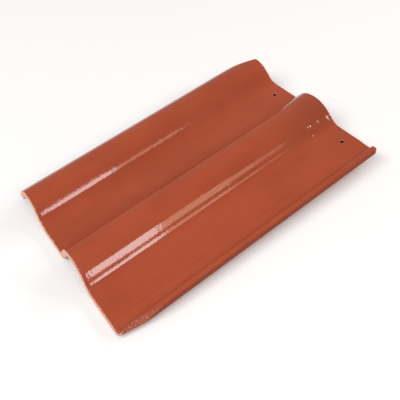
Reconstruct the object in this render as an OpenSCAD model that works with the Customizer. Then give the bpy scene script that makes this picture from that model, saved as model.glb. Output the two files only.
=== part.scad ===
// Interlocking roof tile with two rolls, moulded in one piece.
// It lies face up: +X runs across the tile from the lapping roll to the lock lip,
// +Y runs up the roof slope from the tail to the head, and +Z is up.
// All sizes are in millimetres. The section is drawn with the pans' face at z = 0,
// and the finished tile is then centred across X and Y with its nibs on z = 0.

/* [Overall] */
// Length from the tail edge to the head edge
tile_len = 484; // [400:1:584]
// Width of one roll with its pan, which is half the cover width
module_w = 150; // [142:1:185]
// Thickness of the fired body
body_t = 11.5; // [8:0.5:14]
// How far the tail's end face leans back, in degrees
tail_lean = 12; // [0:1:20]

/* [Rolls] */
// Height of a roll's crest above the pans
roll_h = 30; // [27:0.5:38]
// Radius of the crest, on the face
crest_r = 40; // [32:0.5:44]
// Steepness of the flank that faces the neighbour, in degrees
steep_deg = 58; // [50:1:64]
// Steepness of the other flank, in degrees
gentle_deg = 43; // [40:1:50]
// Hollow radius where the steep flank meets the pan
steep_foot_r = 6; // [4:0.5:10]
// Hollow radius where the gentle flank meets the pan
gentle_foot_r = 27; // [15:1:33]

/* [Side lock] */
// Width past the cover width, out to the lock lip's outer face
lock_w = 30; // [26:0.5:36]
// Width of the lock lip at its top
lip_w = 8; // [6:0.5:10]
// Height of the lock lip above the pans
lip_h = 6.5; // [4:0.5:7.5]
// Depth of the lip's underside below the pans' face
lip_under = 6; // [1:0.5:8]
// Depth of the shallow seat that the neighbour's toe lies in
seat_depth = 1; // [0.5:0.1:1.5]
// Gap left on each side of the neighbour's toe
lock_gap = 1.5; // [1:0.5:2.5]

/* [Corner cuts] */
// Length of the cut on the lock side, at the tail
lock_cut_len = 43; // [36:1:60]
// Width of that cut at the tail edge
lock_cut_w = 8; // [6:0.5:10]
// How far that cut's face leans in, in degrees
lock_cut_lean = 28; // [0:1:35]
// Length of the cut on the lapping side, at the head
lap_cut_len = 86; // [60:1:110]
// Width of that cut at the head edge
lap_cut_w = 40; // [20:1:48]

/* [Fixings] */
// Diameter of each nail hole
nail_d = 6; // [4.5:0.5:8]
// Distance from the head edge to the nail holes
nail_y = 22; // [20:0.5:32]
// Distance from the first roll to its nail hole
nail_x = 15; // [12:0.5:26]
// Distance between the two nail holes
nail_pitch = 161; // [150:1:165]
// Width of each nib
nib_w = 34; // [24:1:38]
// Length of each nib where it meets the body
nib_l = 12; // [10:0.5:13]
// Depth of each nib below the underside
nib_h = 12; // [8:0.5:16]
// Distance from the head edge to a nib
nib_y = 2; // [2:0.5:4]

/* [Hidden] */

// Degrees turned between two points on a curve
ARC_STEP = 3;
// Extra length that carries a cutting body past the face it cuts
OVER = 1;
// Size of a cutting block, larger than anything that it cuts
BLOCK = 120;
// Roundness of the nail holes
HOLE_FN = 48;
// Colour of the glazed clay
CLAY = [0.66, 0.31, 0.21];

// Straight length of a flank between its two curves, and the flank's whole width
function straight_len(deg, foot_r) = (roll_h - (crest_r + foot_r) * (1 - cos(deg))) / sin(deg);
function flank_run(deg, foot_r) = (crest_r + foot_r) * sin(deg) + straight_len(deg, foot_r) * cos(deg);
steep_run = flank_run(steep_deg, steep_foot_r);
roll_w = steep_run + flank_run(gentle_deg, gentle_foot_r);
pan_x = (roll_w + module_w) / 2;
full_w = 2 * module_w + lock_w;

// Directions of a curve from one angle to another, in equal steps
function turns(from, to) =
    let (n = ceil(abs(to - from) / ARC_STEP))
    [for (i = [0 : n]) from + (to - from) * i / n];

// Points of a roll at a depth below its face, left to right. The steep flank's
// foot is at x0.
function steep_foot(x0, depth) = [
    for (a = turns(0, steep_deg))
        [x0 + (steep_foot_r + depth) * sin(a), steep_foot_r - (steep_foot_r + depth) * cos(a)]
];
function crest(x0, depth) = [
    for (a = turns(-steep_deg, gentle_deg))
        [x0 + steep_run + (crest_r - depth) * sin(a), roll_h - crest_r + (crest_r - depth) * cos(a)]
];
function gentle_foot(x0, depth) = [
    for (a = turns(gentle_deg, 0))
        [x0 + roll_w - (gentle_foot_r + depth) * sin(a), gentle_foot_r - (gentle_foot_r + depth) * cos(a)]
];

// The first roll's steep flank has no foot: it runs straight down to a toe, whose
// end is level with the pans and lies in the next tile's seat.
function toe_x(depth) =
    let (p = crest(0, depth)[0])
    p[0] - p[1] / tan(steep_deg);
function rolls(depth) = concat(
    [[toe_x(depth), 0]],
    crest(0, depth),
    gentle_foot(0, depth),
    steep_foot(module_w, depth),
    crest(module_w, depth),
    gentle_foot(module_w, depth)
);

// The seat and the lip stand clear of the neighbour's toe by the lock gap
seat_x = 2 * module_w + toe_x(0) - lock_gap;
lip_foot_x = 2 * module_w + toe_x(body_t) + lock_gap;
side_lock = [
    [seat_x - seat_depth, 0],
    [seat_x, -seat_depth],
    [lip_foot_x, -seat_depth],
    [full_w - lip_w, lip_h],
    [full_w, lip_h],
    [full_w, -lip_under],
    [lip_foot_x + seat_depth, -lip_under],
    [lip_foot_x - body_t + lip_under, -body_t]
];

module section() {
    under = rolls(body_t);
    polygon(concat(
        rolls(0),
        side_lock,
        [for (i = [len(under) - 1 : -1 : 0]) under[i]]
    ));
}

module tile_body() {
    translate([0, tile_len, 0])
        rotate([90, 0, 0])
            linear_extrude(height = tile_len)
                section();
}

// Hooks over the batten: the face towards the tail is upright, the other has draft
module nib() {
    translate([-nib_w / 2, tile_len - nib_y, -body_t])
        rotate([90, 0, 90])
            linear_extrude(height = nib_w)
                polygon([
                    [0, OVER],
                    [0, 0],
                    [-nib_h / 4, -nib_h],
                    [-nib_l, -nib_h],
                    [-nib_l, OVER]
                ]);
}

module nail_hole() {
    translate([0, tile_len - nail_y, -body_t - OVER])
        cylinder(d = nail_d, h = body_t + 2 * OVER, $fn = HOLE_FN);
}

// Block with its corner on the tail's lower edge, leaning with the end face
module tail_cut() {
    translate([-OVER, 0, -body_t])
        rotate([-tail_lean, 0, 0])
            translate([0, -BLOCK, -BLOCK / 2])
                cube([full_w + 2 * OVER, BLOCK, 2 * BLOCK]);
}

// Block whose side lies along the slanting cut, with a face that leans in
module lock_corner_cut() {
    translate([full_w - lock_cut_w, 0, -lip_under])
        rotate([0, 0, -atan(lock_cut_w / lock_cut_len)])
            rotate([0, -lock_cut_lean, 0])
                translate([0, -BLOCK, -BLOCK / 2])
                    cube([BLOCK, 2 * BLOCK, BLOCK]);
}

// Block whose side runs from the toe to the head edge
module lap_corner_cut() {
    translate([toe_x(0) + lap_cut_w, tile_len, 0])
        rotate([0, 0, -atan(lap_cut_w / lap_cut_len)])
            translate([-BLOCK, -BLOCK, -BLOCK / 2])
                cube([BLOCK, 2 * BLOCK, BLOCK]);
}

module roof_tile() {
    translate([-(toe_x(0) + full_w) / 2, -tile_len / 2, body_t + nib_h])
        color(CLAY)
            difference() {
                union() {
                    tile_body();
                    for (x = [pan_x, pan_x + module_w])
                        translate([x, 0, 0])
                            nib();
                }
                for (x = [roll_w + nail_x, roll_w + nail_x + nail_pitch])
                    translate([x, 0, 0])
                        nail_hole();
                tail_cut();
                lock_corner_cut();
                lap_corner_cut();
            }
}

roof_tile();
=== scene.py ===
"""A glazed clay roof tile with two rolls, lying face up on a pale studio floor."""

import math

import bmesh
import bpy
from mathutils import Matrix, Vector, noise


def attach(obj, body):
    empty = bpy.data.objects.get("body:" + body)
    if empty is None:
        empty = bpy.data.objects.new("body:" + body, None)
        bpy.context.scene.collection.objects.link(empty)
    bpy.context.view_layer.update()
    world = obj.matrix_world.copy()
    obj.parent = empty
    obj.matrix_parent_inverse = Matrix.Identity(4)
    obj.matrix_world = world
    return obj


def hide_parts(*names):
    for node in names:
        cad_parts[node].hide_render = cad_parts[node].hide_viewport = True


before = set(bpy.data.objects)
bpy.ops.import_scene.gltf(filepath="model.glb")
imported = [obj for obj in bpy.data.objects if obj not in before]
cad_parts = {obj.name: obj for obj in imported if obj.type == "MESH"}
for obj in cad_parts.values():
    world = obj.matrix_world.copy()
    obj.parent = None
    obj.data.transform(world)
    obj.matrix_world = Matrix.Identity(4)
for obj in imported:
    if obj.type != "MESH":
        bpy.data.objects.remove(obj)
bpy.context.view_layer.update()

MM = 0.001

# The section's sizes, in millimetres, the same as the CAD part's
TILE_LEN = 484.0
MODULE_W = 150.0
BODY_T = 11.5
TAIL_LEAN = math.radians(12)
ROLL_H = 30.0
CREST_R = 40.0
STEEP = math.radians(58)
GENTLE = math.radians(43)
STEEP_FOOT_R = 6.0
GENTLE_FOOT_R = 27.0
LOCK_W = 30.0
LIP_W = 8.0
LIP_H = 6.5
LIP_UNDER = 6.0
SEAT_DEPTH = 1.0
LOCK_GAP = 1.5
LOCK_CUT_LEN = 43.0
LOCK_CUT_W = 8.0
LOCK_CUT_LEAN = math.radians(28)
LAP_CUT_LEN = 86.0
LAP_CUT_W = 40.0
NAIL_D = 6.0
NAIL_Y = 22.0
NAIL_X = 15.0
NAIL_PITCH = 161.0
NIB_W = 34.0
NIB_L = 12.0
NIB_H = 12.0
NIB_Y = 2.0

# The two gentle flanks: crest radius on that side, slopes where the crest's curve ends and
# the foot's curve starts, and length that the slopes are eased over
FLANKS = [
    (38.9, math.radians(43.2), math.radians(46.6), 8.6),
    (44.9, math.radians(38.0), math.radians(47.2), 11.5),
]

# Steps over a gentle flank, a crest, a steep flank, its foot, a pan, the lock and a corner
FLANK_STEPS = 64
CREST_STEPS = 24
STEEP_STEPS = 7
STEEP_FOOT_STEPS = 12
PAN_STEPS = 10
LOCK_STEPS = 60
CORNER_STEPS = 6
# Steps along the tile, points inside each rung across its ends, and sides of a nail hole
STATIONS = 80
RUNGS = 3
HOLE_SIDES = 40
# Edges that meet at more than this stay sharp
SHARP = math.radians(40)

# Radii of the soft corners at the seat, at the lip's inner edge and at its outer edges
SEAT_ROUND = 3.0
LIP_ROUND = 2.0
LIP_EDGE_ROUND = 1.2
# The face ends this far above level on the lip's outer side, and the underside this far below
LIP_MIDDLE = 1.0
# Radius of the worn arrises round both ends, and the steps round one
ARRIS = 1.3
ARRIS_STEPS = 5
# How far a nib reaches up into the body, how far its back leans in, and its soft edges
NIB_SUNK = 5.0
NIB_DRAFT = 3.0
NIB_ROUND = 1.2
NIB_ROUND_STEPS = 4
# The soft rim round a nail hole: heights, and how much wider the hole is there
NAIL_RIM = [(-0.9, 0.0), (-0.4, 0.1), (-0.1, 0.3), (0.3, 0.6)]
# How far a nail hole's cutter reaches below the underside, and above the face
CUTTER_BELOW = 3.0
CUTTER_ABOVE = 6.0

# Drips of glaze on the second roll's flank: part of the way down it, distance from the head
# and half the length. Then their half width, half depth and height above the face
DRIPS = [(0.58, 28.0, 3.0), (0.57, 48.0, 3.0), (0.79, 49.0, 2.6), (0.66, 8.0, 8.5)]
DRIP_W = 1.6
DRIP_DEEP = 1.3
DRIP_H = 0.35
DRIP_SEGMENTS = 32
DRIP_RINGS = 24

# Firing pushed the second roll's steep side out and lifted the first pan, each over a length
# below the head, and left waves of this depth and size across and along the whole tile
FLARE = 3.0
FLARE_LEN = 70.0
PAN_LIFT = 2.5
LIFT_LEN = 110.0
WAVE = 0.25
WAVE_SIZE = (70.0, 110.0)
WAVE_SLICE = 3.0

# Points past the lip's middle and before the toe that are glazed, on a bare underside
LIP_GLAZED = 14
TOE_GLAZED = 3
# How bare the rough corner cut is, where 1 is all clay, and how far up the tile it starts
CUT_BARE = 0.20
CUT_START = 4.0
# How far from a nib and from a nail hole's wall their own points are looked for
NIB_MARGIN = 1.0
HOLE_MARGIN = 0.05

# Colours: the glaze's three tones, its specks, painted shade down the lip's outer side,
# painted shade on the second roll's flank near the head, painted shade in the nail holes, and
# the bare clay's two tones
GLAZE_DEEP = (0.295, 0.046, 0.014, 1)
GLAZE_WARM = (0.337, 0.056, 0.018, 1)
GLAZE_LIGHT = (0.367, 0.073, 0.031, 1)
GLAZE_SPECK = (0.200, 0.035, 0.015, 1)
GLAZE_SIDE_SHADE = (0.230, 0.050, 0.026, 1)
GLAZE_PAINTED_SHADE = (0.210, 0.038, 0.012, 1)
HOLE_PAINTED_SHADE = (0.030, 0.010, 0.005, 1)
CLAY_DARK = (0.560, 0.300, 0.210, 1)
CLAY_LIGHT = (0.780, 0.470, 0.350, 1)
# Grains to the metre across, along and up, for each noise
CLOUD_GRAINS = (16, 9, 16)
LINE_GRAINS = (330, 7, 330)
SPECK_GRAINS = (700, 700, 700)
GRIT_GRAINS = (900, 900, 900)
PATCH_GRAINS = (420, 420, 420)
RIPPLE_GRAINS = (90, 190, 90)
# Layers of finer noise in the broad noises, in the small ones and in the specks
FINE = 3.0
PLAIN = 2.0
COARSE = 1.0
# Ramps: the values between which each one changes, and what it gives there
TONE_RAMP = (0.3, 0.7)
LINE_RAMP = (0.35, 0.75, 0.0, 0.22)
SPECK_RAMP = (0.66, 0.74, 0.0, 0.45)
PATCH_RAMP = (0.25, 0.75, -0.5, 0.5)
SHOWN_RAMP = (0.5, 0.62)
GLOSS_RAMP = (0.3, 0.7, 0.05, 0.08)
SHINE_RAMP = (0.0, 1.0, 0.5, 0.12)
# How much of the painted shade down the lip's outer side shows, and how much rougher a dull
# surface is
SIDE_SHADE_SHOWN = 0.7
MATT_ROUGH = 0.65
# Painted shade down the second roll's flank near the head: its soft edges at the crest and at
# the pan, in millimetres, the distances from the head where it starts and is full, and how
# much it shows there
SHADE_CREST_SOFT = 20.0
SHADE_PAN_SOFT = 30.0
SHADE_START = 160.0
SHADE_FULL = 20.0
SHADE_SHOWN = 0.65
# Depths of the ripples, the long lines and the grit, in millimetres
RIPPLE = 0.08
LINE_RELIEF = 0.02
GRIT_RELIEF = 0.12

# The floor, and the light that comes from all round
FLOOR_SIZE = 8.0
FLOOR_COLOUR = (0.8, 0.8, 0.8, 1)
FLOOR_ROUGH = 0.9
WORLD_COLOUR = (1, 1, 1, 1)
WORLD_LIGHT = 0.42

# Soft boxes round the set, none of them where the pans or the flanks would mirror it, and a
# small lamp that glints on the drips: azimuth, elevation, distance, size, radiance, colour
SOFT_BOXES = {
    "left_soft_box": (-115, 52, 4.5, (3.2, 2.4), 4.7, (1, 1, 1)),
    "front_soft_box": (-50, 54, 4.5, (2.4, 2.4), 2.9, (1, 1, 1)),
    "back_soft_box": (92, 25, 4.5, (2.6, 1.4), 4.5, (1, 1, 1)),
    "glint_lamp": (55.5, 22, 3, (0.3, 0.3), 50.0, (1.0, 0.8, 0.65)),
}
# Long soft boxes on a plane past the lock, which shine along the rolls' gentle flanks:
# places across and up that plane, size, radiance and colour
LONG_BOXES = {
    "long_box_near": (-0.380, -0.385, (0.55, 0.45), 10.0, (1.0, 0.93, 0.93)),
    "long_box_middle": (0.160, -0.492, (0.52, 0.41), 4.4, (1.0, 0.64, 0.45)),
    "long_box_far": (0.530, -0.560, (0.22, 0.28), 3.4, (1.0, 0.64, 0.45)),
    "long_box_end": (0.750, -0.620, (0.22, 0.20), 2.2, (1.0, 0.64, 0.45)),
}
# That plane's azimuth, elevation and distance, and how far the boxes are turned on it
LONG_BOX_AZIMUTH = 15
LONG_BOX_ELEVATION = 50
LONG_BOX_DISTANCE = 2.5
LONG_BOX_TURN = -10.0

CAMERA_PLACE = Vector((0.4851, -0.2555, 0.6316))
CAMERA_AIM = Vector((0.0550, -0.0273, 0.03))
CAMERA_ROLL = math.radians(-11.65)
SENSOR_W = 36
LENS = 45.46
CLIP_START = 0.01


def flank_run(angle, foot_r):
    """How wide a flank is, from the middle of its crest to where its foot meets the pan."""
    rise = ROLL_H - (CREST_R + foot_r) * (1 - math.cos(angle))
    return (CREST_R + foot_r) * math.sin(angle) + rise / math.tan(angle)


def toe_x(depth):
    """Where a roll's steep side, at a depth below its face, comes down to the pans' level."""
    x = STEEP_RUN - (CREST_R - depth) * math.sin(STEEP)
    z = ROLL_H - CREST_R + (CREST_R - depth) * math.cos(STEEP)
    return x - z / math.tan(STEEP)


STEEP_RUN = flank_run(STEEP, STEEP_FOOT_R)
ROLL_W = STEEP_RUN + flank_run(GENTLE, GENTLE_FOOT_R)
PAN_X = (ROLL_W + MODULE_W) / 2
FULL_W = 2 * MODULE_W + LOCK_W
SEAT_X = 2 * MODULE_W + toe_x(0) - LOCK_GAP
LIP_FOOT_X = 2 * MODULE_W + toe_x(BODY_T) + LOCK_GAP
NIB_PLACES = (PAN_X, PAN_X + MODULE_W)
NAIL_PLACES = (ROLL_W + NAIL_X, ROLL_W + NAIL_X + NAIL_PITCH)

# Where the flare and the lift fade in and out across the tile, and the lip's outer side grows
# dull and takes painted shade
FLARE_IN = (MODULE_W - 12, MODULE_W + 4)
FLARE_OUT = (MODULE_W + 24, MODULE_W + 48)
LIFT_IN = (ROLL_W - 20, ROLL_W)
LIFT_OUT = (MODULE_W - 2, MODULE_W + 12)
LIP_DULL_AND_SHADED = (FULL_W - 1.2, FULL_W - 0.2)

# From the section's own frame, in millimetres, to the row's frame
shift = Vector((-(toe_x(0) + FULL_W) / 2, -TILE_LEN / 2, BODY_T + NIB_H))


def between(low, high, value):
    """0 below low, 1 above high, and a smooth rise between them."""
    t = min(max((value - low) / (high - low), 0.0), 1.0)
    return t * t * (3 - 2 * t)


def counted_arc(centre, radius, start, end, count):
    """Points round an arc in count steps, with angles measured from straight up to +X."""
    return [
        (
            centre[0] + radius * math.sin(start + (end - start) * i / count),
            centre[1] + radius * math.cos(start + (end - start) * i / count),
        )
        for i in range(count + 1)
    ]


def counted_line(a, b, count):
    """The points that part a line into count steps, without its ends."""
    return [
        (a[0] + (b[0] - a[0]) * i / count, a[1] + (b[1] - a[1]) * i / count)
        for i in range(1, count)
    ]


def moving_average(values, reach):
    """Each value averaged with its neighbours. The values change sign past both ends."""
    before = [-v for v in values[reach:0:-1]]
    after = [-v for v in values[-2 : -reach - 2 : -1]]
    row = before + values + after
    return [sum(row[i : i + 2 * reach + 1]) / (2 * reach + 1) for i in range(len(values))]


def gentle_flank(crest_r, start, end, ease):
    """Slopes and places down a gentle flank, whose slope still grows a little between
    the crest's curve (start) and the foot's curve (end)."""
    run = ROLL_W - STEEP_RUN
    crest_run = crest_r * math.sin(start)
    crest_drop = crest_r * (1 - math.cos(start))

    # Run and drop for each unit of the middle's length and of the foot's radius, from
    # which the two are found
    mid_run = (math.sin(end) - math.sin(start)) / (end - start)
    mid_drop = (math.cos(start) - math.cos(end)) / (end - start)
    foot_run = math.sin(end)
    foot_drop = 1 - math.cos(end)
    det = mid_run * foot_drop - foot_run * mid_drop
    mid = ((run - crest_run) * foot_drop - (ROLL_H - crest_drop) * foot_run) / det
    foot_r = ((ROLL_H - crest_drop) * mid_run - (run - crest_run) * mid_drop) / det

    crest_s = crest_r * start
    total = crest_s + mid + foot_r * end
    slopes = []
    for i in range(FLANK_STEPS + 1):
        s = total * i / FLANK_STEPS
        if s < crest_s:
            slopes.append(s / crest_r)
        elif s < crest_s + mid:
            slopes.append(start + (end - start) * (s - crest_s) / mid)
        else:
            slopes.append((total - s) / foot_r)
    reach = round(ease / 2 * FLANK_STEPS / total)
    slopes = moving_average(slopes, reach)

    places = [(0.0, 0.0)]
    for p, q in zip(slopes, slopes[1:]):
        x, z = places[-1]
        places.append((x + math.cos((p + q) / 2), z + math.sin((p + q) / 2)))
    wide, deep = places[-1]
    return slopes, [(x * run / wide, z * ROLL_H / deep) for x, z in places]


def rolls(depth):
    """The two rolls and the pan between them, at a depth below the face."""
    points = [(toe_x(depth), 0.0)]
    for x0, flank in zip((0.0, MODULE_W), FLANKS):
        if x0:
            foot_mid = (x0, STEEP_FOOT_R)
            foot = counted_arc(foot_mid, -(STEEP_FOOT_R + depth), 0, -STEEP, STEEP_FOOT_STEPS)
            points += counted_line(points[-1], foot[0], PAN_STEPS)
            points += foot
        crest_mid = (x0 + STEEP_RUN, ROLL_H - CREST_R)
        top = counted_arc(crest_mid, CREST_R - depth, -STEEP, 0, CREST_STEPS)
        points += counted_line(points[-1], top[0], STEEP_STEPS)
        points += top
        slopes, places = gentle_flank(*flank)
        for slope, (x, z) in list(zip(slopes, places))[1:]:
            points.append(
                (
                    x0 + STEEP_RUN + x - depth * math.sin(slope),
                    ROLL_H - z - depth * math.cos(slope),
                )
            )
    return points


def spread(path, count):
    """count points at equal spacing along a path, without its first point."""
    lengths = [0.0]
    for a, b in zip(path, path[1:]):
        lengths.append(lengths[-1] + math.dist(a, b))
    out = []
    k = 0
    for i in range(1, count + 1):
        want = lengths[-1] * i / count
        while lengths[k + 1] < want - 1e-9:
            k += 1
        f = (want - lengths[k]) / (lengths[k + 1] - lengths[k])
        a, b = path[k], path[k + 1]
        out.append((a[0] + (b[0] - a[0]) * f, a[1] + (b[1] - a[1]) * f))
    return out


def rounded(path, radii):
    """The path with each inner corner replaced by an arc of its radius."""
    out = [path[0]]
    for before, corner, after, radius in zip(path, path[1:], path[2:], radii):
        c = Vector(corner)
        u = (Vector(before) - c).normalized()
        v = (Vector(after) - c).normalized()
        half = u.angle(v) / 2
        reach = radius / math.tan(half)
        centre = c + (u + v).normalized() * (radius / math.sin(half))
        a = c + u * reach - centre
        b = c + v * reach - centre
        for i in range(CORNER_STEPS + 1):
            f = i / CORNER_STEPS
            out.append(tuple(centre + (a * (1 - f) + b * f).normalized() * radius))
    out.append(path[-1])
    return out


def lock_face():
    """The face past the second roll: pan, seat, lock lip and down the lip's outer side."""
    path = [
        rolls(0)[-1],
        (SEAT_X - SEAT_DEPTH, 0.0),
        (SEAT_X, -SEAT_DEPTH),
        (LIP_FOOT_X, -SEAT_DEPTH),
        (FULL_W - LIP_W, LIP_H),
        (FULL_W, LIP_H),
        (FULL_W, LIP_MIDDLE),
    ]
    radii = [SEAT_ROUND, SEAT_ROUND, SEAT_ROUND, LIP_ROUND, LIP_EDGE_ROUND]
    return spread(rounded(path, radii), LOCK_STEPS)


def lock_underside():
    """The underside below it, and up to the middle of the lip's outer side."""
    path = [
        rolls(BODY_T)[-1],
        (LIP_FOOT_X - BODY_T + LIP_UNDER, -BODY_T),
        (LIP_FOOT_X + SEAT_DEPTH, -LIP_UNDER),
        (FULL_W, -LIP_UNDER),
        (FULL_W, -LIP_MIDDLE),
    ]
    radii = [SEAT_ROUND, SEAT_ROUND, LIP_EDGE_ROUND]
    return spread(rounded(path, radii), LOCK_STEPS)


face = rolls(0) + lock_face()
underside = rolls(BODY_T) + lock_underside()


def closed_ring():
    """The section's outline: along the face, down the lip, back under and up the toe."""
    rungs = [k / (RUNGS + 1) for k in range(1, RUNGS + 1)]
    outer = [tuple(Vector(face[-1]).lerp(Vector(underside[-1]), f)) for f in rungs]
    toe = [tuple(Vector(underside[0]).lerp(Vector(face[0]), f)) for f in rungs]
    return face + outer + underside[::-1] + toe


def inset(ring, amount):
    """The ring moved inwards by an amount."""
    out = []
    for i, point in enumerate(ring):
        along = (Vector(ring[(i + 1) % len(ring)]) - Vector(ring[i - 1])).normalized()
        out.append((point[0] + along.y * amount, point[1] - along.x * amount))
    return out


def lock_cut_y(x, z):
    """How far up the tile the lock side's corner cut lies."""
    lean = math.tan(LOCK_CUT_LEAN) / math.cos(math.atan(LOCK_CUT_W / LOCK_CUT_LEN))
    past = x - (FULL_W - LOCK_CUT_W) + (z + LIP_UNDER) * lean
    return past * LOCK_CUT_LEN / LOCK_CUT_W


def tail_y(x, z):
    """Where the tail ends: at its leaning face, or at the lock side's corner cut."""
    return max((z + BODY_T) * math.tan(TAIL_LEAN), lock_cut_y(x, z))


def head_y(x):
    """Where the head ends, which is further down the tile at the lap side's corner cut."""
    return TILE_LEN - max(0.0, toe_x(0) + LAP_CUT_W - x) * LAP_CUT_LEN / LAP_CUT_W


def warped(x, y, z):
    """A point moved as the clay moved in drying and firing."""
    in_roll = between(*FLARE_IN, x) * (1 - between(*FLARE_OUT, x))
    x -= FLARE * between(TILE_LEN - FLARE_LEN, TILE_LEN, y) * in_roll
    in_pan = between(*LIFT_IN, x) * (1 - between(*LIFT_OUT, x))
    z += PAN_LIFT * between(TILE_LEN - LIFT_LEN, TILE_LEN, y) * in_pan
    sway = noise.noise(Vector((x / WAVE_SIZE[0], y / WAVE_SIZE[1], WAVE_SLICE)))
    return Vector((x, y, z - WAVE * (0.5 + 0.5 * sway)))


def tail_bareness(x, z):
    """How bare the tail's end is: all clay, and partly glazed on the rough corner cut."""
    cut_y = lock_cut_y(x, z)
    on_cut = cut_y >= tail_y(x, z) and cut_y > CUT_START
    return CUT_BARE if on_cut else 1.0


def body_rings():
    """Rings of points from tail to head. Each is the section, with its place along the
    tile from 0 to 1, a further step in millimetres, and how much of the end it is. The
    first and last few rings are drawn in, which rounds the arrises at both ends."""
    ring = closed_ring()
    tail_rings = []
    head_rings = []
    for i in range(ARRIS_STEPS + 1):
        turn = math.pi / 2 * i / ARRIS_STEPS
        drawn_in = inset(ring, ARRIS * (1 - math.sin(turn)))
        step = ARRIS * (1 - math.cos(turn))
        end_part = 1 - math.sin(turn)
        tail_rings.append((drawn_in, 0.0, step, end_part))
        head_rings.append((drawn_in, 1.0, -step, end_part))
    middle_rings = [(ring, i / STATIONS, 0.0, 0.0) for i in range(1, STATIONS)]
    return tail_rings + middle_rings + head_rings[::-1]


def build_body():
    """The tile without its nibs, drips and nail holes, where it is bare, and where it is dull
    and painted in shade.
    """
    mesh = bmesh.new()
    bare = mesh.verts.layers.float.new("bare")
    dull_and_shaded = mesh.verts.layers.float.new("dull_and_shaded")
    first_bare = len(face) + RUNGS + LIP_GLAZED + 1
    past_bare = len(face) + RUNGS + len(underside) - TOE_GLAZED
    grid = []
    for points, along, step, end_part in body_rings():
        row = []
        for k, (x, z) in enumerate(points):
            low, high = tail_y(x, z), head_y(x)
            y = low + (high - low) * along + step
            vert = mesh.verts.new((warped(x, y, z) + shift) * MM)
            under = 1.0 if first_bare <= k < past_bare else 0.0
            end = tail_bareness(x, z) if along < 0.5 else 1.0
            vert[bare] = max(under, end * end_part)
            vert[dull_and_shaded] = between(*LIP_DULL_AND_SHADED, x)
            row.append(vert)
        grid.append(row)
    for a, b in zip(grid, grid[1:]):
        for i in range(len(a)):
            j = (i + 1) % len(a)
            mesh.faces.new((a[i], a[j], b[j], b[i]))
    for row in (grid[0], grid[-1]):
        close_end(mesh, bare, row)
    bmesh.ops.recalc_face_normals(mesh, faces=mesh.faces)
    return finished_object(mesh, "roof_tile_body")


def close_end(mesh, bare, row):
    """Fills an end ring with rungs that cross the body from underside to face."""
    count = len(face)
    top = row[:count]
    outer = row[count : count + RUNGS]
    low = row[count + RUNGS : 2 * count + RUNGS][::-1]
    toe = row[2 * count + RUNGS :]
    rungs = [[low[0]] + toe + [top[0]]]
    for i in range(1, count - 1):
        rung = [low[i]]
        for k in range(1, RUNGS + 1):
            vert = mesh.verts.new(low[i].co.lerp(top[i].co, k / (RUNGS + 1)))
            vert[bare] = top[i][bare]
            rung.append(vert)
        rungs.append(rung + [top[i]])
    rungs.append([low[-1]] + outer[::-1] + [top[-1]])
    for a, b in zip(rungs, rungs[1:]):
        for k in range(RUNGS + 1):
            mesh.faces.new((a[k], b[k], b[k + 1], a[k + 1]))


def finished_object(mesh, name):
    """Turns the mesh into an object of the scene."""
    data = bpy.data.meshes.new(name)
    mesh.to_mesh(data)
    mesh.free()
    obj = bpy.data.objects.new(name, data)
    bpy.context.scene.collection.objects.link(obj)
    return obj


def build_nib(mid_x):
    """A hook below the head: upright towards the tail, with draft on its other side."""
    mesh = bmesh.new()
    back = TILE_LEN - NIB_Y
    side = [
        (back, -BODY_T + NIB_SUNK),
        (back, -BODY_T),
        (back - NIB_DRAFT, -BODY_T - NIB_H),
        (back - NIB_L, -BODY_T - NIB_H),
        (back - NIB_L, -BODY_T + NIB_SUNK),
    ]
    rows = []
    for x in (mid_x - NIB_W / 2, mid_x + NIB_W / 2):
        rows.append([mesh.verts.new((Vector((x, y, z)) + shift) * MM) for y, z in side])
    mesh.faces.new(rows[0])
    mesh.faces.new(rows[1][::-1])
    for i in range(len(side)):
        j = (i + 1) % len(side)
        mesh.faces.new((rows[0][j], rows[0][i], rows[1][i], rows[1][j]))
    bmesh.ops.recalc_face_normals(mesh, faces=mesh.faces)
    edges = [e for e in mesh.edges if min(v.co.z for v in e.verts) < (NIB_H - 0.1) * MM]
    bmesh.ops.bevel(
        mesh,
        geom=edges,
        offset=NIB_ROUND * MM,
        segments=NIB_ROUND_STEPS,
        profile=0.5,
        affect="EDGES",
    )
    bare = mesh.verts.layers.float.new("bare")
    for vert in mesh.verts:
        vert[bare] = 1.0
    return finished_object(mesh, "nib")


def build_nail_cutter(x):
    """A round bar with a flared shoulder, which leaves a soft rim round the nail hole."""
    mesh = bmesh.new()
    y = TILE_LEN - NAIL_Y
    lift = warped(x, y, 0).z
    bottom = (-BODY_T - CUTTER_BELOW, NAIL_RIM[0][1])
    top = (CUTTER_ABOVE, NAIL_RIM[-1][1])
    rows = []
    for z, grow in [bottom, *NAIL_RIM, top]:
        row = []
        for i in range(HOLE_SIDES):
            turn = 2 * math.pi * i / HOLE_SIDES
            reach = NAIL_D / 2 + grow
            place = Vector((x + reach * math.cos(turn), y + reach * math.sin(turn), z + lift))
            row.append(mesh.verts.new((place + shift) * MM))
        rows.append(row)
    for a, b in zip(rows, rows[1:]):
        for i in range(HOLE_SIDES):
            j = (i + 1) % HOLE_SIDES
            mesh.faces.new((a[i], a[j], b[j], b[i]))
    mesh.faces.new(rows[0][::-1])
    mesh.faces.new(rows[-1])
    return finished_object(mesh, "nail_cutter")


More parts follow.
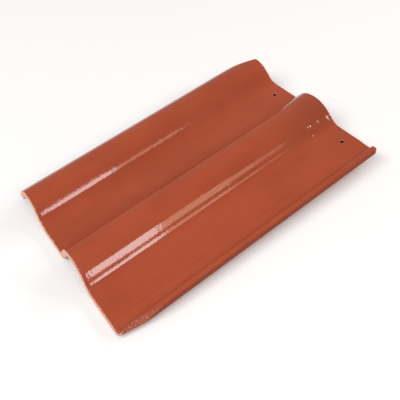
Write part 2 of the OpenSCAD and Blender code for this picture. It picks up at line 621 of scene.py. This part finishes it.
def build_drips():
    """Small runs of glaze that stand a little above the second roll's flank."""
    mesh = bmesh.new()
    slopes, places = gentle_flank(*FLANKS[1])
    for part, from_head, half_len in DRIPS:
        step = round(part * FLANK_STEPS)
        normal = Vector((math.sin(slopes[step]), 0, math.cos(slopes[step])))
        x, z = places[step]
        face_point = Vector((MODULE_W + STEEP_RUN + x, TILE_LEN - from_head, ROLL_H - z))
        centre = warped(*face_point) + shift - normal * (DRIP_DEEP - DRIP_H)
        size = Matrix.Diagonal((half_len * MM, DRIP_W * MM, DRIP_DEEP * MM, 1))
        pose = Matrix.Translation(centre * MM) @ Matrix.Rotation(slopes[step], 4, "Y") @ size
        bmesh.ops.create_uvsphere(
            mesh, u_segments=DRIP_SEGMENTS, v_segments=DRIP_RINGS, radius=1, matrix=pose
        )
    return finished_object(mesh, "drips")


def mark_holes_and_nibs(obj):
    """Marks the walls of the nail holes, where no glaze gets in and which take painted shade,
    and the nibs up to their seams with the body, which are bare clay."""
    bare = obj.data.attributes["bare"]
    hole_matt_and_shade = obj.data.attributes.new("hole_matt_and_shade", "FLOAT", "POINT")
    for i, vert in enumerate(obj.data.vertices):
        place = vert.co / MM - shift
        for x in NAIL_PLACES:
            from_axis = math.hypot(place.x - x, place.y - TILE_LEN + NAIL_Y)
            if from_axis < NAIL_D / 2 + HOLE_MARGIN:
                hole_matt_and_shade.data[i].value = 1.0
        near_back = abs(TILE_LEN - NIB_Y - place.y) < NIB_L + NIB_MARGIN
        for x in NIB_PLACES:
            beside_nib = abs(place.x - x) < NIB_W / 2 + NIB_MARGIN
            if beside_nib and near_back and place.z < -BODY_T / 2:
                bare.data[i].value = 1.0


def combine(target, other, operation):
    """Adds the other solid to the target, or cuts it out, and removes the other."""
    cut = target.modifiers.new("combine", "BOOLEAN")
    cut.operation = operation
    cut.solver = "EXACT"
    cut.object = other
    bpy.context.view_layer.objects.active = target
    bpy.ops.object.modifier_apply(modifier=cut.name)
    bpy.data.objects.remove(other)


tile = build_body()
for mid_x in NIB_PLACES:
    combine(tile, build_nib(mid_x), "UNION")
combine(tile, build_drips(), "UNION")
for x in NAIL_PLACES:
    combine(tile, build_nail_cutter(x), "DIFFERENCE")
mark_holes_and_nibs(tile)
for polygon in tile.data.polygons:
    polygon.use_smooth = True
tile.data.set_sharp_from_angle(angle=SHARP)
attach(tile, "root")
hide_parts("roof_tile")


class Nodes:
    """Short calls that add nodes to a material."""

    def __init__(self, material):
        material.use_nodes = True
        self.tree = material.node_tree
        self.shader = self.tree.nodes["Principled BSDF"]

    def add(self, kind, inputs=None, **settings):
        node = self.tree.nodes.new(kind)
        for name, value in settings.items():
            setattr(node, name, value)
        for name, value in (inputs or {}).items():
            self.feed(node.inputs[name], value)
        return node

    def feed(self, socket, value):
        """Links another node's output to a socket, or sets the socket to a plain value."""
        if isinstance(value, bpy.types.NodeSocket):
            self.tree.links.new(value, socket)
        else:
            socket.default_value = value

    def attribute(self, name):
        return self.add("ShaderNodeAttribute", attribute_name=name).outputs["Fac"]

    def noise(self, place, grains, detail):
        """Noise with so many grains to the metre along each axis."""
        scaled = self.add("ShaderNodeMapping", {"Vector": place, "Scale": grains})
        inputs = {"Vector": scaled.outputs["Vector"], "Scale": 1.0, "Detail": detail}
        return self.add("ShaderNodeTexNoise", inputs).outputs["Fac"]

    def ramp(self, value, low, high, out_low=0.0, out_high=1.0):
        """A smooth change from out_low, at low, to out_high, at high."""
        inputs = {
            "Value": value,
            "From Min": low,
            "From Max": high,
            "To Min": out_low,
            "To Max": out_high,
        }
        node = self.add("ShaderNodeMapRange", inputs, interpolation_type="SMOOTHSTEP")
        return node.outputs["Result"]

    def mix(self, factor, a, b):
        node = self.add("ShaderNodeMix", data_type="RGBA")
        self.feed(node.inputs["Factor"], factor)
        self.feed(node.inputs["A"], a)
        self.feed(node.inputs["B"], b)
        return next(o for o in node.outputs if o.enabled and o.type == "RGBA")

    def math(self, operation, a, b):
        node = self.add("ShaderNodeMath", operation=operation)
        self.feed(node.inputs[0], a)
        self.feed(node.inputs[1], b)
        return node.outputs[0]


def painted_shade_near_head(n, place):
    """How much painted shade shows: down the second roll's flank, near the head."""
    axes = n.add("ShaderNodeSeparateXYZ", {"Vector": place}).outputs
    crest = MODULE_W + STEEP_RUN + shift.x
    pan = MODULE_W + ROLL_W + shift.x
    head = TILE_LEN + shift.y
    past_crest = n.ramp(
        axes["X"], (crest - SHADE_CREST_SOFT) * MM, (crest + SHADE_CREST_SOFT) * MM
    )
    before_pan = n.ramp(axes["X"], pan * MM, (pan - SHADE_PAN_SOFT) * MM)
    near_head = n.ramp(
        axes["Y"], (head - SHADE_START) * MM, (head - SHADE_FULL) * MM, 0.0, SHADE_SHOWN
    )
    return n.math("MULTIPLY", n.math("MULTIPLY", past_crest, before_pan), near_head)


def glazed_clay():
    """Red glaze over clay. It is bare on the ends and on the underside."""
    material = bpy.data.materials.new("glazed_clay")
    n = Nodes(material)
    place = n.add("ShaderNodeTexCoord").outputs["Object"]
    bare = n.attribute("bare")
    dull_and_shaded = n.attribute("dull_and_shaded")
    hole_matt_and_shade = n.attribute("hole_matt_and_shade")

    # Glaze colour: broad clouds, faint lines along the tile, small dark specks, painted shade
    # down the lip's outer side, and painted shade on the second roll's flank near the head
    clouds = n.noise(place, CLOUD_GRAINS, FINE)
    colour = n.mix(n.ramp(clouds, *TONE_RAMP), GLAZE_DEEP, GLAZE_WARM)
    lines = n.noise(place, LINE_GRAINS, FINE)
    colour = n.mix(n.ramp(lines, *LINE_RAMP), colour, GLAZE_LIGHT)
    specks = n.noise(place, SPECK_GRAINS, COARSE)
    colour = n.mix(n.ramp(specks, *SPECK_RAMP), colour, GLAZE_SPECK)
    # Painted shade down the lip's outer side, where the coat is also dull
    colour = n.mix(n.math("MULTIPLY", dull_and_shaded, SIDE_SHADE_SHOWN), colour, GLAZE_SIDE_SHADE)
    # Painted shade on the second roll's flank, darker towards the head
    colour = n.mix(painted_shade_near_head(n, place), colour, GLAZE_PAINTED_SHADE)

    # Clay colour, and where it shows: the glaze's edge wanders over a cut face
    grit = n.noise(place, GRIT_GRAINS, PLAIN)
    clay = n.mix(n.ramp(grit, *TONE_RAMP), CLAY_DARK, CLAY_LIGHT)
    patches = n.ramp(n.noise(place, PATCH_GRAINS, FINE), *PATCH_RAMP)
    shown = n.ramp(n.math("ADD", bare, patches), *SHOWN_RAMP)
    # Painted shade: the nail holes' walls are painted near black
    colour = n.mix(hole_matt_and_shade, n.mix(shown, colour, clay), HOLE_PAINTED_SHADE)
    n.feed(n.shader.inputs["Base Color"], colour)

    # Gloss: a smooth glaze with slightly duller clouds, and dull clay, lip side and holes
    gloss = n.ramp(clouds, *GLOSS_RAMP)
    matt = n.math("MAXIMUM", shown, n.math("MAXIMUM", dull_and_shaded, hole_matt_and_shade))
    rough = n.math("ADD", gloss, n.math("MULTIPLY", matt, MATT_ROUGH))
    n.feed(n.shader.inputs["Roughness"], rough)
    n.feed(n.shader.inputs["Specular IOR Level"], n.ramp(matt, *SHINE_RAMP))

    # Relief: ripples across the tile, its long lines, and the clay's grit
    ripples = n.math("MULTIPLY", n.noise(place, RIPPLE_GRAINS, PLAIN), RIPPLE)
    relief = n.math("ADD", ripples, n.math("MULTIPLY", lines, LINE_RELIEF))
    bare_grit = n.math("MULTIPLY", n.math("MULTIPLY", grit, shown), GRIT_RELIEF)
    relief = n.math("ADD", relief, bare_grit)
    bump = n.add("ShaderNodeBump", {"Height": relief, "Distance": MM, "Strength": 1.0})
    n.feed(n.shader.inputs["Normal"], bump.outputs["Normal"])
    return material


def build_floor():
    """A pale plane that touches the nibs and the tail's lower edge."""
    nib_front = TILE_LEN - NIB_Y - NIB_L
    tilt = math.atan(NIB_H / nib_front)
    bpy.ops.mesh.primitive_plane_add(size=FLOOR_SIZE)
    obj = bpy.context.object
    obj.name = "floor"
    place = Matrix.Translation((0, (nib_front + shift.y) * MM, 0))
    obj.matrix_world = place @ Matrix.Rotation(-tilt, 4, "X")
    pale = bpy.data.materials.new("pale_floor")
    pale.use_nodes = True
    shader = pale.node_tree.nodes["Principled BSDF"]
    shader.inputs["Base Color"].default_value = FLOOR_COLOUR
    shader.inputs["Roughness"].default_value = FLOOR_ROUGH
    obj.data.materials.append(pale)
    return obj


tile.data.materials.clear()
tile.data.materials.append(glazed_clay())
floor = build_floor()

world = bpy.data.worlds.new("studio")
bpy.context.scene.world = world
world.use_nodes = True
world.node_tree.nodes["Background"].inputs["Color"].default_value = WORLD_COLOUR
world.node_tree.nodes["Background"].inputs["Strength"].default_value = WORLD_LIGHT
bpy.context.scene.view_settings.view_transform = "Standard"


def direction(azimuth, elevation):
    """A unit vector at an azimuth and an elevation, both in degrees."""
    a, e = math.radians(azimuth), math.radians(elevation)
    return Vector((math.cos(e) * math.cos(a), math.cos(e) * math.sin(a), math.sin(e)))


def area_light(name, place, size, radiance, colour, turn=0.0, target=(0, 0, 0)):
    """A rectangular soft box that faces the target, as bright as its radiance."""
    data = bpy.data.lights.new(name, "AREA")
    data.shape = "RECTANGLE"
    data.size, data.size_y = size
    data.energy = radiance * math.pi * size[0] * size[1]
    data.color = colour
    obj = bpy.data.objects.new(name, data)
    bpy.context.scene.collection.objects.link(obj)
    facing = (Vector(target) - Vector(place)).to_track_quat("-Z", "Y").to_matrix().to_4x4()
    turned = Matrix.Translation(place) @ facing @ Matrix.Rotation(math.radians(turn), 4, "Z")
    obj.matrix_world = turned


for name, (azimuth, elevation, distance, size, radiance, colour) in SOFT_BOXES.items():
    area_light(name, direction(azimuth, elevation) * distance, size, radiance, colour)

beside = direction(LONG_BOX_AZIMUTH, LONG_BOX_ELEVATION)
across = direction(LONG_BOX_AZIMUTH + 90, 0)
up = beside.cross(across)
for name, (u, v, size, radiance, colour) in LONG_BOXES.items():
    place = beside * LONG_BOX_DISTANCE + across * u + up * v
    area_light(name, place, size, radiance, colour, turn=LONG_BOX_TURN, target=place - beside)

camera_data = bpy.data.cameras.new("camera")
camera = bpy.data.objects.new("camera", camera_data)
bpy.context.scene.collection.objects.link(camera)
facing = (CAMERA_AIM - CAMERA_PLACE).to_track_quat("-Z", "Y").to_matrix().to_4x4()
roll = Matrix.Rotation(CAMERA_ROLL, 4, "Z")
camera.matrix_world = Matrix.Translation(CAMERA_PLACE) @ facing @ roll
camera_data.sensor_width = SENSOR_W
camera_data.lens = LENS
camera_data.clip_start = CLIP_START
bpy.context.scene.camera = camera
